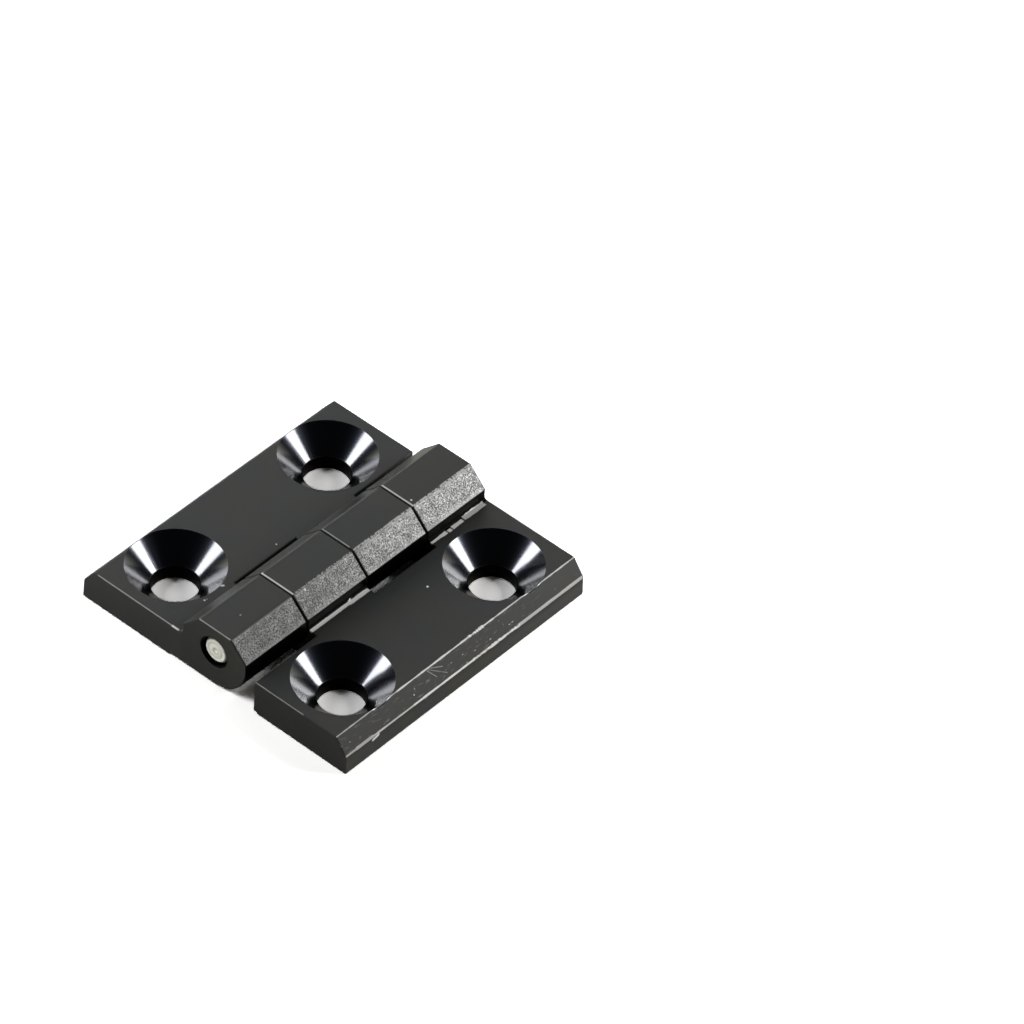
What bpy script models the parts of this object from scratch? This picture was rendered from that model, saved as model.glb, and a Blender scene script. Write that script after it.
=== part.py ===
"""Moulded plastic leaf hinge with a steel pin, lying open and flat.

Run with: blender --background --python part.py
Units are metres and Z is up. The hinge lies on its mounting faces at Z = 0, with the pin along Y
above the origin. Both leaves are glass-filled nylon mouldings: a thick plate with two countersunk
screw holes, cored out from below, and two barrel knuckles that interleave with the other leaf's.
"""

from math import cos, pi, radians, sin, sqrt

import bmesh
import bpy
from mathutils import Matrix, Vector

MM = 0.001

# Overall sizes of the open hinge
HINGE_LENGTH = 60 * MM
HINGE_WIDTH = 60 * MM
LEAF_THICKNESS = 7.1 * MM

# Barrel: a flat top facet, two sloping facets, and an underside that is round about the pin
KNUCKLE_COUNT = 4
KNUCKLE_GAP = 0.45 * MM
FOLDED_GAP = 0.9 * MM
BASE_RELIEF = 0.35 * MM
BARREL_RISE = 5.3 * MM
BARREL_CHAMFER = 3.6 * MM
FOOT_FILLET = 0.6 * MM
SWING_CLEARANCE = 2.0 * MM
RELIEF_LAND = 0.6 * MM

# Outer long edge of each leaf
EDGE_CHAMFER_WIDTH = 2.5 * MM
EDGE_CHAMFER_HEIGHT = 3.1 * MM
EDGE_DRAFT = 0.2 * MM
EDGE_ROUND = 0.2 * MM

# Screw holes, each with a countersink for a 90 degree head
SCREW_HOLE_DIAMETER = 8.4 * MM
COUNTERSINK_DIAMETER = 17.6 * MM
HOLE_TO_OUTER_EDGE = 11 * MM
HOLE_TO_LEAF_END = 11 * MM

# Cored underside: rim, bosses, raised web beside the barrel, and diagonal ribs
OUTER_RIM = 2.5 * MM
INNER_RIM = 2.1 * MM
END_RIM = 2.3 * MM
POCKET_CORNER = 0.5 * MM
SKIN = 3.0 * MM
WEB_RECESS = 1.0 * MM
WEB_PAST_HOLE = 0.8 * MM
WEB_ARM_HALF_WIDTH = 2.4 * MM
BOSS_WALL = 2.1 * MM
SKIRT_WALL = 2.2 * MM
RIB_THICKNESS = 1.3 * MM

# Pin and its bore
PIN_DIAMETER = 5 * MM
PIN_CLEARANCE = 0.3 * MM
PIN_RECESS = 0.4 * MM
PIN_CHAMFER = 0.2 * MM
PIN_CENTRE_DIAMETER = 0.9 * MM
PIN_CENTRE_DEPTH = 0.3 * MM
BORE_LEAD_IN = 0.25 * MM

# How finely round shapes are drawn, which edges are rounded, and how close points are welded
FILLET_STEPS = 4
BARREL_STEPS = 14
TURN_STEPS = 48
BEVEL_SEGMENTS = 2
SHARP_ANGLE = radians(30)
FLAT_ANGLE = radians(0.5)
WELD_DISTANCE = 0.001 * MM

# How far joined pieces and cutters reach past a face
OVERLAP = 0.5 * MM
OVERCUT = 2 * MM

# Sizes that follow from the ones above
AXIS_HEIGHT = LEAF_THICKNESS + FOLDED_GAP / 2
BARREL_RADIUS = AXIS_HEIGHT - BASE_RELIEF
NOTCH_EDGE = BARREL_RADIUS + SWING_CLEARANCE
HALF_WIDTH = HINGE_WIDTH / 2
HALF_LENGTH = HINGE_LENGTH / 2
HOLE_X = HALF_WIDTH - HOLE_TO_OUTER_EDGE
HOLE_Y = HALF_LENGTH - HOLE_TO_LEAF_END
HOLE_RADIUS = SCREW_HOLE_DIAMETER / 2
COUNTERSINK_RADIUS = COUNTERSINK_DIAMETER / 2
CONE_FOOT = LEAF_THICKNESS - (COUNTERSINK_RADIUS - HOLE_RADIUS)
BOSS_RADIUS = HOLE_RADIUS + BOSS_WALL
POCKET_CEILING = LEAF_THICKNESS - SKIN
POCKET_INNER = NOTCH_EDGE + INNER_RIM
POCKET_OUTER = HALF_WIDTH - OUTER_RIM
POCKET_END = HALF_LENGTH - END_RIM
PIN_RADIUS = PIN_DIAMETER / 2
BORE_RADIUS = PIN_RADIUS + PIN_CLEARANCE


# Scene and collections
def clear_scene():
    for old in list(bpy.data.objects):
        bpy.data.objects.remove(old, do_unlink=True)


def new_collection(name):
    collection = bpy.data.collections.new(name)
    bpy.context.scene.collection.children.link(collection)
    return collection


def new_object(name, mesh, collection):
    thing = bpy.data.objects.new(name, mesh)
    collection.objects.link(thing)
    return thing


def make_cutter(thing):
    thing.hide_render = True
    thing.display_type = "WIRE"
    return thing


# Outlines, as lists of (across, up) points
def arc(centre, radius, start, end, steps):
    angles = [start + (end - start) * i / steps for i in range(steps + 1)]
    return [(centre[0] + radius * cos(a), centre[1] + radius * sin(a)) for a in angles]


def leaf_section():
    """Section of plate and barrel for the leaf on the +X side, measured from the pin axis."""
    base = -AXIS_HEIGHT
    top = base + LEAF_THICKNESS
    relief_end = NOTCH_EDGE + RELIEF_LAND
    fillet_centre = (BARREL_RADIUS + FOOT_FILLET, top + FOOT_FILLET)
    outline = [
        (HALF_WIDTH, base),
        (HALF_WIDTH - EDGE_DRAFT, top - EDGE_CHAMFER_HEIGHT),
        (HALF_WIDTH - EDGE_CHAMFER_WIDTH, top),
    ]
    outline += arc(fillet_centre, FOOT_FILLET, -pi / 2, -pi, FILLET_STEPS)
    outline += [
        (BARREL_RADIUS, BARREL_RISE - BARREL_CHAMFER),
        (BARREL_RADIUS - BARREL_CHAMFER, BARREL_RISE),
        (BARREL_CHAMFER - BARREL_RADIUS, BARREL_RISE),
        (-BARREL_RADIUS, BARREL_RISE - BARREL_CHAMFER),
    ]
    outline += arc((0, 0), BARREL_RADIUS, -pi, -pi / 2, BARREL_STEPS)
    outline += [(relief_end, -BARREL_RADIUS), (relief_end + BASE_RELIEF, base)]
    return outline


def web_outline():
    """Plan of the raised web beside the barrel, with an arm at 45 degrees into each inner corner."""
    inner = POCKET_INNER - OVERLAP
    outer = HOLE_X + WEB_PAST_HOLE
    wall = POCKET_END + OVERLAP
    arm_side = HOLE_X + HOLE_Y + WEB_ARM_HALF_WIDTH * sqrt(2)
    half = [(inner, wall), (max(inner, arm_side - wall), wall), (outer, arm_side - outer)]
    return [(x, -y) for x, y in half] + half[::-1]


# Solids from an outline or a profile
def extruded(name, outline, depth, matrix, collection):
    """A flat outline as a filled 2D curve, given a thickness and made a closed mesh."""
    curve = bpy.data.curves.new(name, "CURVE")
    curve.dimensions = "2D"
    curve.fill_mode = "BOTH"
    curve.extrude = depth / 2
    spline = curve.splines.new("POLY")
    spline.points.add(len(outline) - 1)
    for point, (across, up) in zip(spline.points, outline):
        point.co = (across, up, 0, 1)
    spline.use_cyclic_u = True
    drawn = new_object(name + "_outline", curve, collection)
    drawn.matrix_world = matrix
    bpy.context.view_layer.update()
    evaluated = drawn.evaluated_get(bpy.context.evaluated_depsgraph_get())
    mesh = bpy.data.meshes.new_from_object(evaluated)
    mesh.name = name
    welded = bmesh.new()
    welded.from_mesh(mesh)
    bmesh.ops.remove_doubles(welded, verts=welded.verts, dist=WELD_DISTANCE)
    bmesh.ops.dissolve_limit(welded, angle_limit=FLAT_ANGLE, verts=welded.verts, edges=welded.edges)
    bmesh.ops.recalc_face_normals(welded, faces=welded.faces)
    welded.to_mesh(mesh)
    welded.free()
    solid = new_object(name, mesh, collection)
    solid.matrix_world = drawn.matrix_world
    bpy.data.objects.remove(drawn, do_unlink=True)
    bpy.data.curves.remove(curve)
    return solid


def turned(name, profile, collection):
    """A profile of (radius, height) points, listed from the top down, turned about Z."""
    mesh = bpy.data.meshes.new(name)
    drawn = bmesh.new()
    verts = [drawn.verts.new((radius, 0, height)) for radius, height in profile]
    for upper, lower in zip(verts, verts[1:]):
        drawn.edges.new((upper, lower))
    drawn.to_mesh(mesh)
    drawn.free()
    solid = new_object(name, mesh, collection)
    screw = solid.modifiers.new("turn", "SCREW")
    screw.steps = TURN_STEPS
    screw.render_steps = TURN_STEPS
    screw.use_merge_vertices = True
    screw.merge_threshold = WELD_DISTANCE
    return solid


def block(name, low, high, collection):
    """A box between two corners, with its origin in the middle."""
    low, high = Vector(low), Vector(high)
    mesh = bpy.data.meshes.new(name)
    shape = bmesh.new()
    bmesh.ops.create_cube(shape, size=1, matrix=Matrix.Diagonal((*(high - low), 1)))
    shape.to_mesh(mesh)
    shape.free()
    solid = new_object(name, mesh, collection)
    solid.location = (low + high) / 2
    return solid


def boolean(target, tool, operation):
    modifier = target.modifiers.new(tool.name, "BOOLEAN")
    modifier.operation = operation
    modifier.solver = "EXACT"
    modifier.object = tool


# Materials
def plastic(name, colour, roughness):
    material = bpy.data.materials.new(name)
    material.use_nodes = True
    shader = material.node_tree.nodes["Principled BSDF"]
    shader.inputs["Base Color"].default_value = (*colour, 1)
    shader.inputs["Roughness"].default_value = roughness
    shader.inputs["Metallic"].default_value = 0.0
    return material


def steel(name, colour, roughness):
    material = plastic(name, colour, roughness)
    material.node_tree.nodes["Principled BSDF"].inputs["Metallic"].default_value = 1.0
    return material


# Leaves
def knuckle_spans(first):
    """The (start, end) of every second knuckle along Y, running gap included on both sides."""
    pitch = HINGE_LENGTH / KNUCKLE_COUNT
    starts = [-HALF_LENGTH + pitch * i for i in range(first, KNUCKLE_COUNT, 2)]
    return [(start, start + pitch) for start in starts]


def cut_notches(leaf, first_of_other, side, cutters):
    """Clear the barrel where the other leaf's knuckles stand."""
    for i, (start, end) in enumerate(knuckle_spans(first_of_other)):
        start -= KNUCKLE_GAP / 2 if start > -HALF_LENGTH + KNUCKLE_GAP else OVERCUT
        end += KNUCKLE_GAP / 2 if end < HALF_LENGTH - KNUCKLE_GAP else OVERCUT
        reach = sorted((-side * (BARREL_RADIUS + OVERCUT), side * NOTCH_EDGE))
        low = (reach[0], start, -OVERCUT)
        high = (reach[1], end, AXIS_HEIGHT + BARREL_RISE + OVERCUT)
        notch = make_cutter(block(f"{leaf.name}_notch_{i + 1}", low, high, cutters))
        boolean(leaf, notch, "DIFFERENCE")


def round_edges(leaf):
    bevel = leaf.modifiers.new("edge_rounds", "BEVEL")
    bevel.width = EDGE_ROUND
    bevel.segments = BEVEL_SEGMENTS
    bevel.limit_method = "ANGLE"
    bevel.angle_limit = SHARP_ANGLE


def core_underside(leaf, side, cutters):
    """Open the pocket, then put back the web beside the barrel, the bosses and the ribs."""
    reach = sorted((side * POCKET_INNER, side * POCKET_OUTER))
    low = (reach[0], -POCKET_END, -OVERCUT)
    high = (reach[1], POCKET_END, POCKET_CEILING)
    pocket = make_cutter(block(leaf.name + "_pocket", low, high, cutters))
    rounds = pocket.modifiers.new("corner_rounds", "BEVEL")
    rounds.width = POCKET_CORNER
    rounds.segments = BEVEL_SEGMENTS
    rounds.limit_method = "ANGLE"
    rounds.angle_limit = SHARP_ANGLE
    boolean(leaf, pocket, "DIFFERENCE")

    web_height = POCKET_CEILING + OVERLAP - WEB_RECESS
    web_place = Matrix.Translation((0, 0, WEB_RECESS + web_height / 2))
    outline = [(side * x, y) for x, y in web_outline()]
    web = make_cutter(extruded(leaf.name + "_web", outline, web_height, web_place, cutters))

    for end in (-1, 1):
        centre = (side * HOLE_X, end * HOLE_Y)
        boolean(leaf, make_boss(f"{leaf.name}_boss_{end}", centre, cutters), "UNION")
    boolean(leaf, web, "UNION")
    for end in (-1, 1):
        centre = (side * HOLE_X, end * HOLE_Y)
        for i, turn in enumerate((-1, 1)):
            name = f"{leaf.name}_rib_{end}_{i + 1}"
            boolean(leaf, make_rib(name, centre, side, turn, cutters), "UNION")


def make_boss(name, centre, cutters):
    """Screw tube from the base, flaring into a skirt that follows the countersink above it."""
    skirt_foot = CONE_FOOT + BOSS_WALL - SKIRT_WALL
    skirt_top = POCKET_CEILING + OVERLAP
    profile = [
        (0, skirt_top),
        (BOSS_RADIUS + skirt_top - skirt_foot, skirt_top),
        (BOSS_RADIUS, skirt_foot),
        (BOSS_RADIUS, 0),
        (0, 0),
    ]
    boss = make_cutter(turned(name, profile, cutters))
    boss.location = (*centre, 0)
    return boss


def make_rib(name, centre, side, turn, cutters):
    """Thin rib from a boss, at 45 degrees to the rim, into the outer rim."""
    length = (POCKET_OUTER - HOLE_X) / cos(pi / 4) + OVERLAP
    low = (0, -RIB_THICKNESS / 2, WEB_RECESS)
    high = (length, RIB_THICKNESS / 2, POCKET_CEILING + OVERLAP)
    rib = make_cutter(block(name, low, high, cutters))
    angle = turn * pi / 4 if side > 0 else pi - turn * pi / 4
    place = Matrix.Translation((*centre, 0)) @ Matrix.Rotation(angle, 4, "Z")
    rib.matrix_world = place @ Matrix.Translation(rib.location)
    return rib


def drill_screw_holes(leaf, side, cutters):
    cone_rise = LEAF_THICKNESS - CONE_FOOT + OVERCUT
    profile = [
        (0, CONE_FOOT + cone_rise),
        (HOLE_RADIUS + cone_rise, CONE_FOOT + cone_rise),
        (HOLE_RADIUS, CONE_FOOT),
        (HOLE_RADIUS, -OVERCUT),
        (0, -OVERCUT),
    ]
    for end in (-1, 1):
        drill = make_cutter(turned(f"{leaf.name}_drill_{end}", profile, cutters))
        drill.location = (side * HOLE_X, end * HOLE_Y, 0)
        boolean(leaf, drill, "DIFFERENCE")


def bore_knuckles(leaf, cutters):
    """Pin bore through all the knuckles, with a small lead-in at both ends of the barrel."""
    mouth = BORE_RADIUS + BORE_LEAD_IN
    half = [
        (0, HALF_LENGTH + OVERCUT),
        (mouth, HALF_LENGTH + OVERCUT),
        (mouth, HALF_LENGTH),
        (BORE_RADIUS, HALF_LENGTH - BORE_LEAD_IN),
    ]
    profile = half + [(radius, -height) for radius, height in half[::-1]]
    bore = make_cutter(turned(leaf.name + "_bore", profile, cutters))
    bore.location = (0, 0, AXIS_HEIGHT)
    bore.rotation_euler = (pi / 2, 0, 0)
    boolean(leaf, bore, "DIFFERENCE")


def make_leaf(name, side, first_knuckle, material, parts, cutters):
    """One moulding. Side is +1 or -1 along X, and its knuckles are every second one from the first."""
    outline = [(side * x, z) for x, z in leaf_section()]
    upright = Matrix.Translation((0, 0, AXIS_HEIGHT)) @ Matrix.Rotation(pi / 2, 4, "X")
    leaf = extruded(name, outline, HINGE_LENGTH, upright, parts)
    leaf.data.transform(Matrix.Rotation(pi / 2, 4, "X"))
    leaf.matrix_world = Matrix.Translation((0, 0, AXIS_HEIGHT))
    cut_notches(leaf, 1 - first_knuckle, side, cutters)
    round_edges(leaf)
    core_underside(leaf, side, cutters)
    drill_screw_holes(leaf, side, cutters)
    bore_knuckles(leaf, cutters)
    leaf.data.materials.append(material)
    return leaf


# Pin
def make_pin(material, parts):
    """Plain steel pin, a little short of the barrel, with chamfered ends and turning centres."""
    half_length = HALF_LENGTH - PIN_RECESS
    half = [
        (0, half_length - PIN_CENTRE_DEPTH),
        (PIN_CENTRE_DIAMETER / 2, half_length),
        (PIN_RADIUS - PIN_CHAMFER, half_length),
        (PIN_RADIUS, half_length - PIN_CHAMFER),
    ]
    profile = half + [(radius, -height) for radius, height in half[::-1]]
    pin = turned("hinge_pin", profile, parts)
    pin.location = (0, 0, AXIS_HEIGHT)
    pin.rotation_euler = (pi / 2, 0, 0)
    pin.data.materials.append(material)
    return pin


def shade(thing):
    thing.data.shade_smooth()
    thing.data.set_sharp_from_angle(angle=SHARP_ANGLE)


clear_scene()
PARTS = new_collection("plastic_hinge")
CUTTERS = new_collection("hinge_cutters")
LEFT_PLASTIC = plastic("left_leaf_black_nylon", (0.045, 0.047, 0.049), 0.45)
RIGHT_PLASTIC = plastic("right_leaf_black_nylon", (0.045, 0.047, 0.049), 0.45)
PIN_STEEL = steel("zinc_plated_steel", (0.62, 0.64, 0.60), 0.35)
shade(make_leaf("left_leaf", -1, 0, LEFT_PLASTIC, PARTS, CUTTERS))
shade(make_leaf("right_leaf", 1, 1, RIGHT_PLASTIC, PARTS, CUTTERS))
shade(make_pin(PIN_STEEL, PARTS))
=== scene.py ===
from math import cos, pi, radians, sin

import bmesh
import bpy
from mathutils import Matrix, Vector


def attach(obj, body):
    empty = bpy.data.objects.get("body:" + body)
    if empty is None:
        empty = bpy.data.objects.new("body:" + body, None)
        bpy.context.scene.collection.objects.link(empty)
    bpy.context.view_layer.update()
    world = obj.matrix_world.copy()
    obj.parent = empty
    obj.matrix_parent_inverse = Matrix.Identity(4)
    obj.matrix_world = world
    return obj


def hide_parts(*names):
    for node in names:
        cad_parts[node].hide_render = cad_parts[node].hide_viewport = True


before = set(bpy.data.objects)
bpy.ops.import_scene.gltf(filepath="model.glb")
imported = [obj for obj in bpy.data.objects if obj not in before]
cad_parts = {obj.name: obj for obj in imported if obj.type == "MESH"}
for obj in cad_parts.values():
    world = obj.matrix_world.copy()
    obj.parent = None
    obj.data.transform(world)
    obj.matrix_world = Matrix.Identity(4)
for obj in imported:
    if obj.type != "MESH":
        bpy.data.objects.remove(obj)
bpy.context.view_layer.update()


# Camera. A long lens looks down on the open hinge over its front right corner, as it lies on
# the table, and is held a little off level.
MM = 0.001
CAMERA_AZIMUTH = radians(38.03)
CAMERA_ELEVATION = radians(43.66)
CAMERA_ROLL = radians(4.71)
CAMERA_DISTANCE = 1179.6 * MM
CAMERA_AIM = Vector((0, 0, 4 * MM))
AIM_SHIFT_RIGHT = 29.96 * MM
AIM_SHIFT_UP = 11.09 * MM
LENS = 245.59
SENSOR_WIDTH = 36
NEAREST = 0.05
FARTHEST = 20


def add_object(name, data):
    """A new object in the scene, made from a mesh, a lamp or a camera."""
    added = bpy.data.objects.new(name, data)
    bpy.context.scene.collection.objects.link(added)
    return added


back = Vector((
    sin(CAMERA_AZIMUTH) * cos(CAMERA_ELEVATION),
    -cos(CAMERA_AZIMUTH) * cos(CAMERA_ELEVATION),
    sin(CAMERA_ELEVATION),
))
level = Vector((cos(CAMERA_AZIMUTH), sin(CAMERA_AZIMUTH), 0))
right = Matrix.Rotation(CAMERA_ROLL, 3, back) @ level
up = back.cross(right)
lens = bpy.data.cameras.new("camera")
lens.lens = LENS
lens.sensor_width = SENSOR_WIDTH
lens.clip_start = NEAREST
lens.clip_end = FARTHEST
camera = add_object("camera", lens)
eye = CAMERA_AIM + back * CAMERA_DISTANCE + right * AIM_SHIFT_RIGHT + up * AIM_SHIFT_UP
turn = Matrix((right, up, back)).transposed().to_4x4()
camera.matrix_world = Matrix.Translation(eye) @ turn
bpy.context.scene.camera = camera
bpy.context.scene.view_settings.view_transform = "Standard"


# Table, lamps and room. A plain white table between two soft boxes, one to the right of the
# camera's view and one to the left, with a broad and weak one low down behind. The room is pale
# low down and dim overhead.
FLOOR_SIZE = 4.0
FLOOR_DROP = 0.02 * MM
FLOOR_GREY = 0.6
FLOOR_SEEN = 2.6
FLOOR_MIRRORED = 0.60
FLOOR_WARMTH = 0.06
ROOM_PALE = 0.9
ROOM_DIM = 0.01
ROOM_COLOUR = (1.0, 0.985, 0.84, 1)
WALL_TOP_LOW = radians(4)
WALL_TOP_HIGH = radians(16)


class Finish:
    """A node tree for one finish, with the one method that adds a node to it."""

    def __init__(self, owner):
        owner.use_nodes = True
        self.tree = owner.node_tree
        self.tree.nodes.clear()

    def node(self, kind, settings=None, sockets=None, output=0):
        made = self.tree.nodes.new(kind)
        for name, value in (settings or {}).items():
            setattr(made, name, value)
        for name, value in (sockets or {}).items():
            if isinstance(value, Field):
                self.tree.links.new(value.socket, made.inputs[name])
            else:
                made.inputs[name].default_value = value
        return Field(self, made.outputs[output]) if len(made.outputs) else made


class Field:
    """A value in a finish. Sums written with fields add the Math nodes that they need."""

    def __init__(self, finish, socket):
        self.finish = finish
        self.socket = socket

    def math(self, operation, *values):
        sockets = dict(enumerate(values))
        return self.finish.node("ShaderNodeMath", {"operation": operation}, sockets)

    def __add__(self, other):
        return self.math("ADD", self, other)

    def __sub__(self, other):
        return self.math("SUBTRACT", self, other)

    def __rsub__(self, other):
        return self.math("SUBTRACT", other, self)

    def __mul__(self, other):
        return self.math("MULTIPLY", self, other)

    def __pow__(self, other):
        return self.math("POWER", self, other)

    def __abs__(self):
        return self.math("ABSOLUTE", self)

    def __or__(self, other):
        return self.math("MAXIMUM", self, other)

    def __and__(self, other):
        return self.math("MINIMUM", self, other)

    __radd__ = __add__
    __rmul__ = __mul__
    __ror__ = __or__
    __rand__ = __and__

    def rise(self, low, high):
        """0 below low, 1 above high, and smooth between them."""
        settings = {"interpolation_type": "SMOOTHSTEP"}
        sockets = {"Value": self, "From Min": low, "From Max": high}
        return self.finish.node("ShaderNodeMapRange", settings, sockets)


floor_mesh = bpy.data.meshes.new("table")
sheet = bmesh.new()
bmesh.ops.create_grid(sheet, x_segments=1, y_segments=1, size=FLOOR_SIZE / 2)
bmesh.ops.translate(sheet, vec=(0, 0, -FLOOR_DROP), verts=sheet.verts)
sheet.to_mesh(floor_mesh)
sheet.free()
floor = add_object("table", floor_mesh)

floor_paint = bpy.data.materials.new("table_white")
paint = Finish(floor_paint)
seen = paint.node("ShaderNodeLightPath", output="Is Camera Ray")
seen = seen | paint.node("ShaderNodeLightPath", output="Is Transmission Ray")
mirrored = paint.node("ShaderNodeLightPath", output="Is Glossy Ray")
bright = seen * (FLOOR_SEEN - FLOOR_GREY) + mirrored * (FLOOR_MIRRORED - FLOOR_GREY) + FLOOR_GREY
blue = bright - mirrored * FLOOR_WARMTH
white = paint.node("ShaderNodeCombineColor", sockets={0: bright, 1: bright, 2: blue})
matt = paint.node("ShaderNodeBsdfDiffuse", sockets={"Color": white})
paint.node("ShaderNodeOutputMaterial", sockets={"Surface": matt})
floor.data.materials.append(floor_paint)

world = bpy.data.worlds.new("room")
bpy.context.scene.world = world
room = Finish(world)
toward = room.node("ShaderNodeTexCoord", output="Generated")
height = room.node("ShaderNodeSeparateXYZ", sockets={0: toward}, output="Z")
wall = 1 - height.rise(sin(WALL_TOP_LOW), sin(WALL_TOP_HIGH))
light = ROOM_DIM + wall * (ROOM_PALE - ROOM_DIM)
air = room.node("ShaderNodeBackground", sockets={"Color": ROOM_COLOUR, "Strength": light})
room.node("ShaderNodeOutputWorld", sockets={"Surface": air})


def soft_box(name, bearing, elevation, distance, width, height, radiance, colour):
    """A rectangular lamp aimed at the hinge. Its bearing is measured from +X towards +Y."""
    lamp = bpy.data.lights.new(name, "AREA")
    lamp.shape = "RECTANGLE"
    lamp.size = width
    lamp.size_y = height
    lamp.energy = radiance * pi * width * height
    lamp.color = colour
    stand = add_object(name, lamp)
    stand.visible_camera = False
    a, e = radians(bearing), radians(elevation)
    out = Vector((cos(a) * cos(e), sin(a) * cos(e), sin(e)))
    across = Vector((-sin(a), cos(a), 0))
    facing = Matrix((across, out.cross(across), out)).transposed().to_4x4()
    stand.matrix_world = Matrix.Translation(out * distance) @ facing


soft_box("soft_box_back", 45.5, 32.25, 0.65, 0.20, 0.306, 15, (1, 0.99, 0.97))
soft_box("soft_box_front", 215.5, 32.25, 0.80, 0.28, 0.377, 12.0, (1, 1, 1))
soft_box("soft_box_side", 150, 18, 0.90, 1.00, 0.34, 2.8, (1, 1, 1))


# Left leaf. One moulding in glass-filled nylon, dyed black: the plate with its two polished
# countersinks and its first and third knuckles. The mould textures it, its edges carry wear with
# painted highlights, and painted shade darkens its end faces, holes and barrel.
HOLE_PLACE = 19.0
HOLE_RADIUS = 4.2
COUNTERSINK_RADIUS = 8.8
CONE_FOOT = 2.5
CIRCLE_CLOSE = 0.03
LEVEL_CLOSE = 0.01
LEAF_TOP = 7.1
LEAF_END = 30
BARREL_TOP = 12.85
BARREL_SIDE = 7.2
BARREL_ROUND = 7.2
FACET_EDGE = 3.6
FACET_FOOT = 9.25
PIN_HEIGHT = 7.55
PIN_BORE = 3.1
RIM_CUTS = 3
RIM_ANGLE = radians(30)
ARRIS_ROUND = 0.12
ARRIS_ANGLE = radians(50)
CREASE_ANGLE = radians(60)
WELD = 0.001 * MM
FLAT_ANGLE = radians(0.5)
COOL_BLACK = (0.0295, 0.0315, 0.033, 1)
WARM_BLACK = (0.033, 0.033, 0.0315, 1)
SHADED_BLACK = (0.003, 0.003, 0.0035, 1)
POLISHED_BLACK = (0.008, 0.011, 0.021, 1)
# The pale colour of wear, also used for painted highlights.
PALE_WEAR_AND_HIGHLIGHT = (0.93, 0.925, 0.91, 1)
# The pale grey painted on the facets facing right as a highlight.
PAINTED_HIGHLIGHT_GREY = (0.62, 0.64, 0.65, 1)
WEAR_AND_HIGHLIGHT_ROUGHNESS = 0.45
POLISHED_ROUGHNESS = 0.22
MOULDED_ROUGHNESS = 0.50
NYLON_IOR = 1.53
POLISH_IOR = 1.75
POLISH_ROUGHNESS = 0.13
TEXTURE_DEPTH = 0.035 * MM


def hole_reach(vert):
    """How far a point is from the axis of its own screw hole, in millimetres."""
    x, y, _ = vert.co / MM
    return Vector((abs(x) - HOLE_PLACE, abs(y) - HOLE_PLACE)).length


def on_hole_circle(edge):
    """True for an edge of the rim or the foot of a countersink, or of the hole below it."""
    for radius in (COUNTERSINK_RADIUS, HOLE_RADIUS):
        if all(abs(hole_reach(vert) - radius) < CIRCLE_CLOSE for vert in edge.verts):
            heights = [vert.co.z / MM for vert in edge.verts]
            return abs(heights[0] - heights[1]) < LEVEL_CLOSE
    return False


def is_arris(edge):
    """True for an edge to soften: each sharp one, and the rims of the holes."""
    if not edge.is_manifold:
        return False
    bend = edge.calc_face_angle(0)
    return bend > ARRIS_ANGLE or on_hole_circle(edge) and bend > RIM_ANGLE


def moulding(node, name):
    """A copy of a packed leaf: triangles merged, holes made rounder, arrises softened."""
    mesh = bpy.data.meshes.new(name)
    shape = bmesh.new()
    shape.from_mesh(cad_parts[node].data)
    bmesh.ops.remove_doubles(shape, verts=shape.verts, dist=WELD)
    bmesh.ops.dissolve_limit(
        shape, angle_limit=FLAT_ANGLE, verts=shape.verts, edges=shape.edges
    )
    circles = [edge for edge in shape.edges if on_hole_circle(edge)]
    bmesh.ops.subdivide_edges(shape, edges=circles, cuts=RIM_CUTS, use_grid_fill=True)
    for vert in shape.verts:
        reach = hole_reach(vert)
        for radius in (COUNTERSINK_RADIUS, HOLE_RADIUS):
            if 0 < radius - reach < CIRCLE_CLOSE:
                centre = Vector([HOLE_PLACE * MM * (1 if v > 0 else -1) for v in vert.co.xy])
                vert.co.xy = centre + (vert.co.xy - centre) * (radius / reach)
    arrises = [edge for edge in shape.edges if is_arris(edge)]
    bmesh.ops.bevel(
        shape, geom=arrises, affect="EDGES", offset=ARRIS_ROUND * MM, offset_type="OFFSET",
        segments=2, profile=0.5, material=-1, clamp_overlap=True,
    )
    shape.to_mesh(mesh)
    shape.free()
    mesh.shade_smooth()
    mesh.set_sharp_from_angle(angle=CREASE_ANGLE)
    piece = add_object(name, mesh)
    even = piece.modifiers.new("even_shading", "WEIGHTED_NORMAL")
    even.keep_sharp = True
    return piece


def point_on_piece(finish):
    """The point on a piece in millimetres, as a vector and as its X, Y and Z."""
    metres = finish.node("ShaderNodeTexCoord", output="Object")
    sockets = {0: metres, "Scale": 1 / MM}
    point = finish.node("ShaderNodeVectorMath", {"operation": "SCALE"}, sockets)
    split = finish.node("ShaderNodeSeparateXYZ", sockets={0: point}).socket.node
    return point, [Field(finish, socket) for socket in split.outputs]


def lay_over(finish, mask, under, over):
    """One colour over another, as far as the mask says."""
    sockets = {0: mask, 6: under, 7: over}
    return finish.node("ShaderNodeMix", {"data_type": "RGBA"}, sockets, 2)


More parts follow.
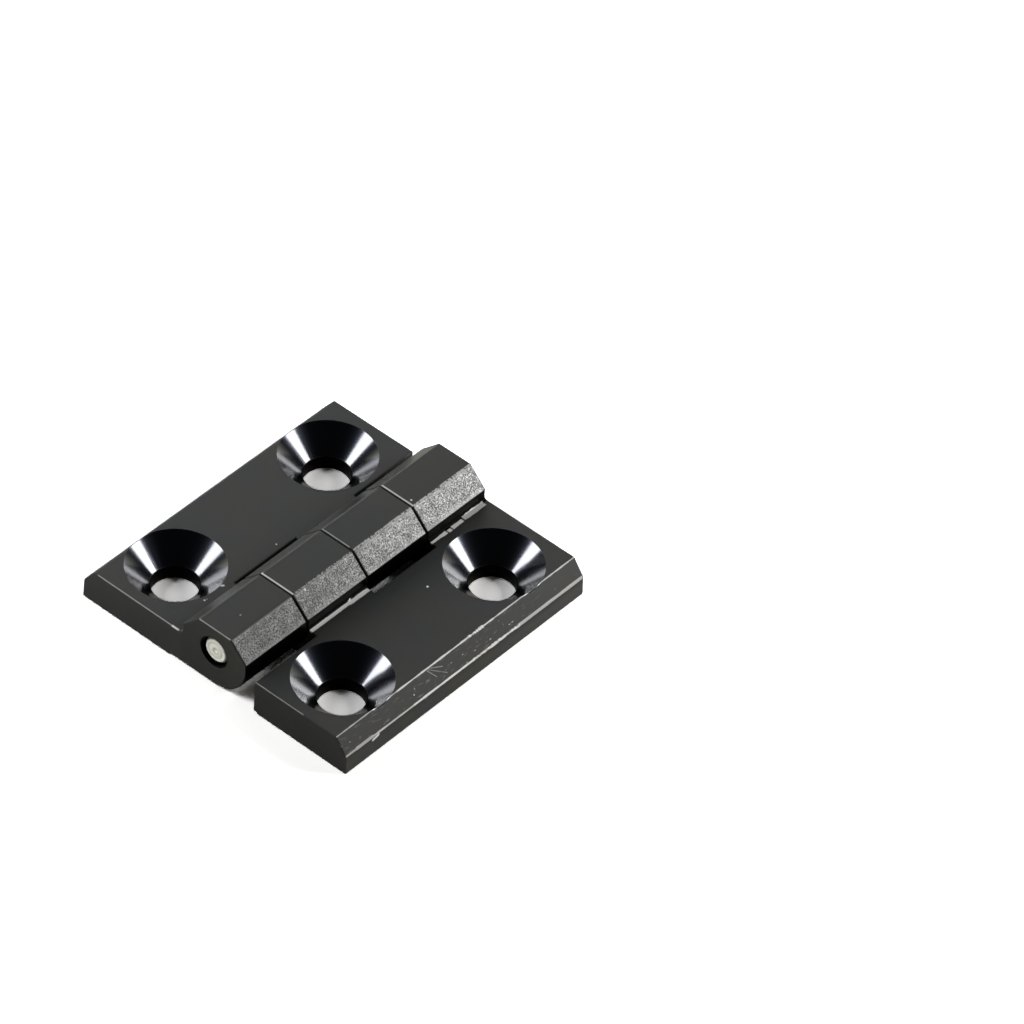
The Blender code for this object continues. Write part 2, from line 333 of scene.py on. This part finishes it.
class Nylon(Finish):
    """Black nylon: textured faces, polished countersinks, grained barrel facets over a painted
    highlight, wear, painted highlights along edges, and painted shade.
    """

    def __init__(self, name, end_shade):
        self.material = bpy.data.materials.new(name)
        super().__init__(self.material)
        self.point, (self.x, self.y, self.z) = point_on_piece(self)
        self.wobble = self.noise(0.4, 3.0) - 0.5
        self.crumble = self.noise(2.6, 2.0)
        self.wear_and_highlight = self.x * 0
        self.scuffed = self.x * 0
        self.ends = self.within(abs(self.y), LEAF_END - 0.15, LEAF_END + 1, 0.1)
        # Painted shade: the end faces are darkened, and more so near the barrel.
        near_barrel = 1 - abs(self.x).rise(6.5, 8)
        self.dark = self.ends * (end_shade + 0.18 * near_barrel)

    def noise(self, scale, detail, stretch=(1, 1, 1)):
        """Noise of about 0 to 1, at a number of lumps per millimetre."""
        mapping = {"Vector": self.point, "Scale": stretch}
        stretched = self.node("ShaderNodeMapping", sockets=mapping)
        sockets = {"Vector": stretched, "Scale": scale, "Detail": detail}
        return self.node("ShaderNodeTexNoise", sockets=sockets)

    def vector_math(self, operation, sockets, output=0):
        return self.node("ShaderNodeVectorMath", {"operation": operation}, sockets, output)

    def within(self, value, low, high, soft=0.3):
        """1 from low to high, and fading to 0 over a soft width on either side."""
        return value.rise(low - soft, low) * (1 - value.rise(high, high + soft))

    def add_pale(self, mask, strength=1.0):
        """Adds a pale place, for wear and for painted highlights alike."""
        self.wear_and_highlight = self.wear_and_highlight | mask * strength

    def pale_edge(self, along, at, span, width, ragged=0.0, broken=0.0, strength=1.0):
        """A pale line on an arris, for wear and for painted highlights. It runs along X or Y at
        the two other places given.
        """
        across, run = (self.x, self.y) if along == "Y" else (self.y, self.x)
        off_across, off_up = across - at[0], self.z - at[1]
        distance = (off_across * off_across + off_up * off_up) ** 0.5
        distance = distance + self.wobble * (ragged * 2)
        mask = (1 - distance.rise(width * 0.6, width)) * self.within(run, *span)
        if broken:
            mask = mask * self.crumble.rise(broken - 0.06, broken)
        self.add_pale(mask, strength)

    def pale_spot(self, at, size, ragged=0.0, strength=1.0):
        """A small pale spot round about a point, for chips and specks and for painted highlights.
        """
        distance = self.vector_math("DISTANCE", {0: self.point, 1: at}, "Value")
        distance = distance + self.crumble * ragged
        self.add_pale(1 - distance.rise(size * 0.7, size), strength)

    def rub_scratch(self, start, end, width, strength=1.0):
        """A scratch between two points, bent a little by the wobble."""
        start, end = Vector(start), Vector(end)
        run = end - start
        offset = self.vector_math("SUBTRACT", {0: self.point, 1: start})
        along = self.vector_math(
            "DOT_PRODUCT", {0: offset, 1: run / run.length_squared}, "Value"
        )
        along = (along | 0) & 1
        nearest = self.vector_math("SCALE", {0: run, "Scale": along})
        distance = self.vector_math("DISTANCE", {0: offset, 1: nearest}, "Value")
        distance = distance + self.wobble * 0.3
        self.add_pale(1 - distance.rise(width * 0.5, width), strength)

    def finish(self):
        """Joins the masks into the shader, once every pale mark is in place."""
        x, y, z = self.x, self.y, self.z
        right_side = x.rise(-1, 1)
        clear_of_wear_and_highlight = 1 - self.wear_and_highlight

        # The screw holes: the straight bore and the polished cone above it.
        hole_x, hole_y = abs(x) - HOLE_PLACE, abs(y) - HOLE_PLACE
        reach = (hole_x * hole_x + hole_y * hole_y) ** 0.5
        in_rim = 1 - reach.rise(COUNTERSINK_RADIUS - 0.06, COUNTERSINK_RADIUS + 0.02)
        in_bore = 1 - reach.rise(HOLE_RADIUS + 0.15, HOLE_RADIUS + 0.25)
        bore = in_bore * z.rise(0.1, 0.3)
        cone_side = CONE_FOOT - HOLE_RADIUS
        cone = in_rim * (z - reach).rise(cone_side - 0.5, cone_side - 0.3) * (1 - bore)
        smooth = cone * clear_of_wear_and_highlight

        # The barrel: its sloping facets, the faces turned away from the light and the underside,
        # which get painted shade, and the pin's bore.
        off_facet = abs(abs(x) + z - (FACET_EDGE + BARREL_TOP))
        facet = (1 - off_facet.rise(0.10, 0.22)) * z.rise(FACET_FOOT - 0.1, FACET_FOOT + 0.1)
        facet = facet * abs(x).rise(FACET_EDGE + 0.1, FACET_EDGE + 0.3)
        free_side = self.within(abs(x), BARREL_SIDE - 0.1, BARREL_SIDE + 0.55, 0.1)
        free_side = free_side * self.within(z, LEAF_TOP - 0.1, FACET_FOOT - 0.1, 0.1)
        above_pin = z - PIN_HEIGHT
        from_pin = (x * x + above_pin * above_pin) ** 0.5
        under = self.within(from_pin, BARREL_ROUND - 0.1, BARREL_ROUND + 0.1, 0.1)
        under = under * self.within(z, 4.5, 7.3, 2.0)
        pin_bore = 1 - from_pin.rise(PIN_BORE - 0.05, PIN_BORE + 0.05)
        # Painted shade: the screw bores, the pin's bore, and the barrel's free sides and underside
        # on the right are painted black, and made metallic so that no light shows on them.
        painted_shade = (bore | (free_side | under) * right_side | pin_bore) * clear_of_wear_and_highlight

        # The grain of the facets: fine specks and cracks, thinner along the borders. Beneath it
        # the facets facing right are laid pale as a painted highlight, lighter towards the back,
        # and those facing left get painted shade.
        border = abs(abs(x) - (FACET_EDGE + BARREL_SIDE) / 2).rise(1.2, 1.75)
        speck = self.noise(3.6, 3.0).rise(0.50, 0.59) * (1 - border * 0.8)
        crack = self.node(
            "ShaderNodeTexVoronoi", {"feature": "DISTANCE_TO_EDGE"},
            {"Vector": self.point, "Scale": 2.0},
        )
        crack = 1 - (crack + self.wobble * 0.1).rise(0.03, 0.14)
        speck = (speck | crack * 0.6) * right_side
        patch = 0.75 + 0.5 * self.noise(0.5, 2.0).rise(0.40, 0.60)
        paling = 0.32 + 0.68 * y.rise(-24, 28) + 0.08 * border
        # Painted highlight: the pale ground of the facets facing right.
        painted_facet_highlight = facet * right_side * patch * paling
        # Painted shade on the facets facing left, deeper towards their top.
        left_facet_painted_shade = facet * (1 - right_side) * (0.25 + 0.40 * z.rise(9.6, 11.5))

        # Roughness: the moulded faces, then facets, cones and worn places over them.
        cloud = self.noise(0.12, 2.0)
        fine = self.noise(7.0, 2.0)
        shine = 0.40 - 0.14 * y.rise(-30, 30)
        rough = MOULDED_ROUGHNESS + 0.10 * (cloud - 0.5)
        rough = rough + facet * (shine - rough + 0.15 * speck)
        rough = rough + smooth * (POLISHED_ROUGHNESS - rough) + self.scuffed * 0.1
        rough = rough + self.wear_and_highlight * (WEAR_AND_HIGHLIGHT_ROUGHNESS - rough)

        # Colour, laid over in the same order.
        # Painted shade on the end faces beside the facets on the right.
        shaded_rim = self.ends * right_side * (1 - off_facet.rise(0.35, 0.6)) * z.rise(8.8, 9.2)
        black = painted_shade | (self.dark | shaded_rim | left_facet_painted_shade) * clear_of_wear_and_highlight
        tint = lay_over(self, cloud.rise(0.4, 0.6), COOL_BLACK, WARM_BLACK)
        tint = lay_over(self, painted_facet_highlight * (1 - 0.95 * speck), tint, PAINTED_HIGHLIGHT_GREY)
        tint = lay_over(self, black, tint, SHADED_BLACK)
        tint = lay_over(self, smooth, tint, POLISHED_BLACK)
        tint = lay_over(self, self.wear_and_highlight, tint, PALE_WEAR_AND_HIGHLIGHT)

        grain = fine * 0.25 * (1 - (smooth | painted_shade)) - facet * speck
        relief = {"Height": grain, "Strength": 1.0, "Distance": TEXTURE_DEPTH}
        bump = self.node("ShaderNodeBump", sockets=relief)
        shader = self.node(
            "ShaderNodeBsdfPrincipled",
            sockets={
                "Base Color": tint, "Roughness": rough, "Normal": bump, "IOR": NYLON_IOR,
                "Metallic": painted_shade | smooth * 0.9,
                "Coat Weight": cone, "Coat Roughness": POLISH_ROUGHNESS, "Coat IOR": POLISH_IOR,
            },
        )
        self.node("ShaderNodeOutputMaterial", sockets={"Surface": shader})
        return self.material


left_leaf = moulding("left_leaf", "left_leaf_moulding")
left_nylon = Nylon("left_leaf_black_nylon", 0.30)
left_nylon.pale_edge("X", (-LEAF_END, LEAF_TOP), (-26.5, -9.3), 0.20, 0.03, strength=0.35)
left_nylon.pale_edge("X", (-LEAF_END, LEAF_TOP), (-9.5, -8.2), 0.30, strength=0.9)
# Pale lines on the front top edges of the first and third knuckles: wear with a painted highlight.
left_nylon.pale_edge("X", (-LEAF_END, BARREL_TOP), (-3.5, 3.4), 0.20, 0.03, strength=0.35)
left_nylon.pale_edge("X", (0.225, BARREL_TOP), (-3.6, 2.5), 0.20, strength=0.4)
left_nylon.pale_edge("Y", (FACET_EDGE, BARREL_TOP), (0.3, 14.7), 0.24, 0.15, 0.47, 0.45)
left_nylon.rub_scratch((-10.15, -17.2, LEAF_TOP), (-9.95, -16.95, LEAF_TOP), 0.28, 0.7)
left_nylon.pale_spot((-9.7, -21.3, LEAF_TOP), 0.25, 0.2, 0.4)
left_nylon.pale_spot((-9.8, -21.8, LEAF_TOP), 0.32, 0.2, 0.8)
left_nylon.pale_spot((-10.4, -3.4, LEAF_TOP), 0.22, 0.1, 0.8)
left_nylon.pale_spot((0.7, -24.5, BARREL_TOP), 0.25, 0.2, 0.4)
left_nylon.pale_spot((3.9, -21.4, BARREL_TOP), 0.45, 0.5, 0.6)
left_leaf.data.materials.append(left_nylon.finish())
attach(left_leaf, "left_side")
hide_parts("left_leaf")


# Right leaf. The second moulding of the pair, with the second and fourth knuckles. It carries more
# wear than the first along its outer chamfer, and pale strips at the foot of its knuckles that are
# painted highlights.
CHAMFER_TOP = (27.5, 7.1)
CHAMFER_FOOT = (29.8, 4.0)
CHAMFER_FACING = (0.803, 0.596)
CHAMFER_OUT = 26.316
OUTER_FACE = 29.95
KNUCKLE_FOOT = LEAF_TOP + 0.1

right_leaf = moulding("right_leaf", "right_leaf_moulding")
nylon = Nylon("right_leaf_black_nylon", 0.75)

# The knuckles' top edges, whose front ones carry wear with a painted highlight, and painted
# highlights at their feet.
# Pale lines on the front top edges of the second and fourth knuckles: wear with a painted
# highlight.
nylon.pale_edge("X", (-14.775, BARREL_TOP), (-3.7, 3.4), 0.24, strength=0.85)
nylon.pale_spot((-3.5, -14.7, BARREL_TOP), 0.30, 0.1)
nylon.pale_edge("X", (15.225, BARREL_TOP), (-3.7, 3.4), 0.24, strength=0.75)
nylon.pale_edge("X", (-LEAF_END, LEAF_TOP), (9.5, 20), 0.18, 0.03, strength=0.3)
nylon.pale_edge("Y", (9.2, LEAF_TOP), (-29.5, -20), 0.20, strength=0.6)
# Pale strips at the foot of the second and fourth knuckles: painted highlights where the foot
# fillets would catch the lamp.
nylon.pale_edge("Y", (7.9, KNUCKLE_FOOT), (-14.6, -5.2), 0.42, 0.04)
nylon.pale_edge("Y", (8.0, KNUCKLE_FOOT), (-5.2, -0.6), 0.50, 0.12)
nylon.pale_spot((7.9, -4.7, KNUCKLE_FOOT), 0.85, 0.5)
nylon.pale_edge("Y", (8.1, LEAF_TOP), (15.4, 19.0), 0.40, 0.22)
nylon.pale_edge("Y", (8.2, LEAF_TOP), (19.6, 20.1), 0.40, 0.22)
nylon.pale_edge("Y", (8.1, LEAF_TOP), (20.7, 23.1), 0.50, 0.22, strength=0.95)
nylon.pale_edge("Y", (7.95, LEAF_TOP), (23.8, 28.8), 0.60, 0.22, strength=0.7)

# The two edges of the outer chamfer, and the chips and scratches near them.
nylon.pale_edge("Y", CHAMFER_TOP, (-29.8, -15), 0.15, 0.08, strength=0.5)
nylon.pale_edge("Y", CHAMFER_TOP, (-15, 9), 0.19, 0.12, strength=0.85)
nylon.pale_edge("Y", CHAMFER_TOP, (9, 29.8), 0.17, 0.12, strength=0.7)
nylon.pale_edge("Y", CHAMFER_TOP, (3, 6.5), 0.36, 0.30, 0.52)
nylon.pale_edge("Y", CHAMFER_FOOT, (-29.7, -27.2), 0.26, 0.06, strength=0.5)
nylon.pale_edge("Y", CHAMFER_FOOT, (-27.2, -23.3), 0.42, 0.10, strength=0.5)
nylon.pale_edge("Y", CHAMFER_FOOT, (-23.3, -13), 0.22, 0.08, strength=0.7)
nylon.pale_edge("Y", CHAMFER_FOOT, (-13, 2), 0.26, 0.10)
nylon.pale_edge("Y", CHAMFER_FOOT, (2, 13.5), 0.36, 0.25, 0.49)
nylon.pale_edge("Y", CHAMFER_FOOT, (2, 13.5), 0.20, 0.10, strength=0.8)
nylon.pale_edge("Y", CHAMFER_FOOT, (13.5, 29.6), 0.42, 0.10, strength=0.6)
nylon.rub_scratch((OUTER_FACE, -23.2, 3.25), (OUTER_FACE, -22.0, 3.55), 0.42)
nylon.rub_scratch((OUTER_FACE, -13.2, 3.4), (OUTER_FACE, -9.9, 3.6), 0.13, 0.6)
nylon.rub_scratch((27.6, -7.3, 7.0), (28.3, -4.5, 6.0), 0.11, 0.27)
nylon.rub_scratch((27.7, -7.5, 6.9), (29.1, -4.2, 4.9), 0.11, 0.27)
nylon.rub_scratch((27.7, -7.8, 6.9), (28.9, -6.4, 5.3), 0.12, 0.3)
nylon.pale_spot((28.4, -11.6, 5.8), 0.30, 0.3, 0.7)
nylon.pale_spot((28.9, -12.2, 5.2), 0.32, 0.3, 0.7)
nylon.pale_spot((28.8, -27.9, 5.4), 0.30, 0.3, 0.6)

# Specks on the top, and the facets' top edges.
nylon.pale_spot((14.6, 7.0, LEAF_TOP), 0.30, 0.1, 0.9)
nylon.pale_spot((2.4, 16.1, BARREL_TOP), 0.28, 0.1, 0.8)
nylon.pale_spot((4.0, -12.2, 12.5), 0.60, 0.6, 0.9)
nylon.pale_edge("Y", (FACET_EDGE, BARREL_TOP), (-14.7, -0.3), 0.22, 0.15, 0.50, 0.30)
nylon.pale_edge("Y", (FACET_EDGE, BARREL_TOP), (15.3, 29.7), 0.26, 0.15, 0.47, 0.50)

# The chamfer itself: short dashes where it has been struck, fine hairs, a darker front part,
# painted shade on the end faces beside it, and a face below that pales towards the back.
along_facing = nylon.x * CHAMFER_FACING[0] + nylon.z * CHAMFER_FACING[1]
off_chamfer = abs(along_facing - CHAMFER_OUT)
on_chamfer = (1 - off_chamfer.rise(0.1, 0.25)) * nylon.x.rise(27.4, 27.6)
mapping = {"Vector": nylon.point, "Scale": (2.2, 0.6, 2.2)}
drawn = nylon.node("ShaderNodeMapping", sockets=mapping)
dots = nylon.node("ShaderNodeTexVoronoi", sockets={"Vector": drawn, "Scale": 1.0})
dot_colour = Field(nylon, dots.socket.node.outputs["Color"])
pick = nylon.node("ShaderNodeSeparateColor", sockets={0: dot_colour})
dot = (1 - dots.rise(0.07, 0.18)) * pick.rise(0.66, 0.7)
nylon.scuffed = on_chamfer
# Darker over the front of the chamfer.
dark_chamfer = on_chamfer * 0.2 * (1 - nylon.y.rise(12, 26))
# Painted shade on the end faces along the chamfer's edge.
painted_end_shade = nylon.ends * (1 - off_chamfer.rise(0.5, 0.8)) * 0.9
nylon.dark = nylon.dark | dark_chamfer | painted_end_shade
# The outer face below the chamfer pales towards the back.
outer_face_paling = nylon.x.rise(29.8, 29.9) * (1 - nylon.z.rise(3.7, 3.9))
nylon.add_pale(outer_face_paling, 0.015 + 0.024 * nylon.y.rise(-10, 28))
struck = nylon.y.rise(-6, 2) * (1 - nylon.y.rise(12, 19)) * 0.75 + 0.12
nylon.add_pale(dot * on_chamfer * struck)
hair = nylon.noise(1.3, 4.0, (3, 0.5, 3)).rise(0.60, 0.70)
nylon.add_pale(hair * on_chamfer * (1 - nylon.y.rise(14, 22)), 0.11)
right_leaf.data.materials.append(nylon.finish())
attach(right_leaf, "right_side")
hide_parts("right_leaf")


# Hinge pin. A steel pin, zinc plated with a pale green tinge, turned and parted off in a lathe and
# pressed through all four knuckles. Each end has a chamfer and a centre mark.
PIN_RADIUS = 2.5
PIN_END = 29.6
PIN_CHAMFER = 0.40
PIN_FLAT = PIN_RADIUS - PIN_CHAMFER
PIN_STEPS = 64
PIN_CREASE_ANGLE = radians(25)
CENTRE_RADIUS = 0.55
CENTRE_DEPTH = 0.35
RING_INSIDE = 1.35
RING_MIDDLE = 1.50
RING_OUTSIDE = 1.65
RING_DEPTH = 0.06
TURNING_DEPTH = 0.02 * MM
ZINC = (1.0, 1.0, 0.92, 1)
ZINC_DULL = (0.66, 0.68, 0.55, 1)
# The zinc darkened as painted shade.
ZINC_PAINTED_SHADE = (0.16, 0.17, 0.13, 1)

profile = [
    (0, PIN_END - CENTRE_DEPTH),
    (CENTRE_RADIUS, PIN_END),
    (RING_INSIDE, PIN_END),
    (RING_MIDDLE, PIN_END - RING_DEPTH),
    (RING_OUTSIDE, PIN_END),
    (PIN_FLAT, PIN_END),
    (PIN_RADIUS, PIN_END - PIN_CHAMFER),
]
profile += [(radius, -end) for radius, end in reversed(profile)]
turned = bmesh.new()
verts = [turned.verts.new((0, end * MM, (PIN_HEIGHT + radius) * MM)) for radius, end in profile]
edges = [turned.edges.new(pair) for pair in zip(verts, verts[1:])]
bmesh.ops.spin(
    turned, geom=verts + edges, cent=(0, 0, PIN_HEIGHT * MM), axis=(0, 1, 0),
    dvec=(0, 0, 0), angle=2 * pi, steps=PIN_STEPS, use_merge=True, use_duplicate=False,
)
bmesh.ops.remove_doubles(turned, verts=turned.verts, dist=WELD)
bmesh.ops.recalc_face_normals(turned, faces=turned.faces)
pin_mesh = bpy.data.meshes.new("hinge_pin_turned")
turned.to_mesh(pin_mesh)
turned.free()
pin_mesh.shade_smooth()
pin_mesh.set_sharp_from_angle(angle=PIN_CREASE_ANGLE)
pin = add_object("hinge_pin_turned", pin_mesh)

zinc = bpy.data.materials.new("zinc_plated_steel")
plate = Finish(zinc)
point, (across, _, height_up) = point_on_piece(plate)
above_axis = height_up - PIN_HEIGHT
from_axis = (across * across + above_axis * above_axis) ** 0.5
turning = plate.node(
    "ShaderNodeTexNoise", {"noise_dimensions": "1D"},
    {"W": from_axis, "Scale": 9.0, "Detail": 2.0},
)
stain = plate.node(
    "ShaderNodeTexNoise", sockets={"Vector": point, "Scale": 0.9, "Detail": 3.0}
)
centre_mark = from_axis.rise(0.40, 0.50) * (1 - from_axis.rise(0.60, 0.80))
ring = from_axis.rise(1.3, 1.45) * (1 - from_axis.rise(1.55, 1.7))
dull = stain.rise(0.50, 0.66) * 0.4 | centre_mark * 0.9 | ring * 0.6
# Painted shade: the pin's chamfer and side are darkened.
painted_pin_shade = from_axis.rise(PIN_FLAT, PIN_RADIUS - PIN_CHAMFER / 2) * 0.85
plating = lay_over(plate, dull, ZINC, ZINC_DULL)
plating = lay_over(plate, painted_pin_shade, plating, ZINC_PAINTED_SHADE)
relief = {"Height": turning, "Strength": 1.0, "Distance": TURNING_DEPTH}
bump = plate.node("ShaderNodeBump", sockets=relief)
shader = plate.node(
    "ShaderNodeBsdfPrincipled",
    sockets={"Base Color": plating, "Roughness": 0.42 + 0.12 * stain, "Normal": bump},
)
plate.node("ShaderNodeOutputMaterial", sockets={"Surface": shader})
pin_mesh.materials.append(zinc)
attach(pin, "left_side")
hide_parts("hinge_pin")
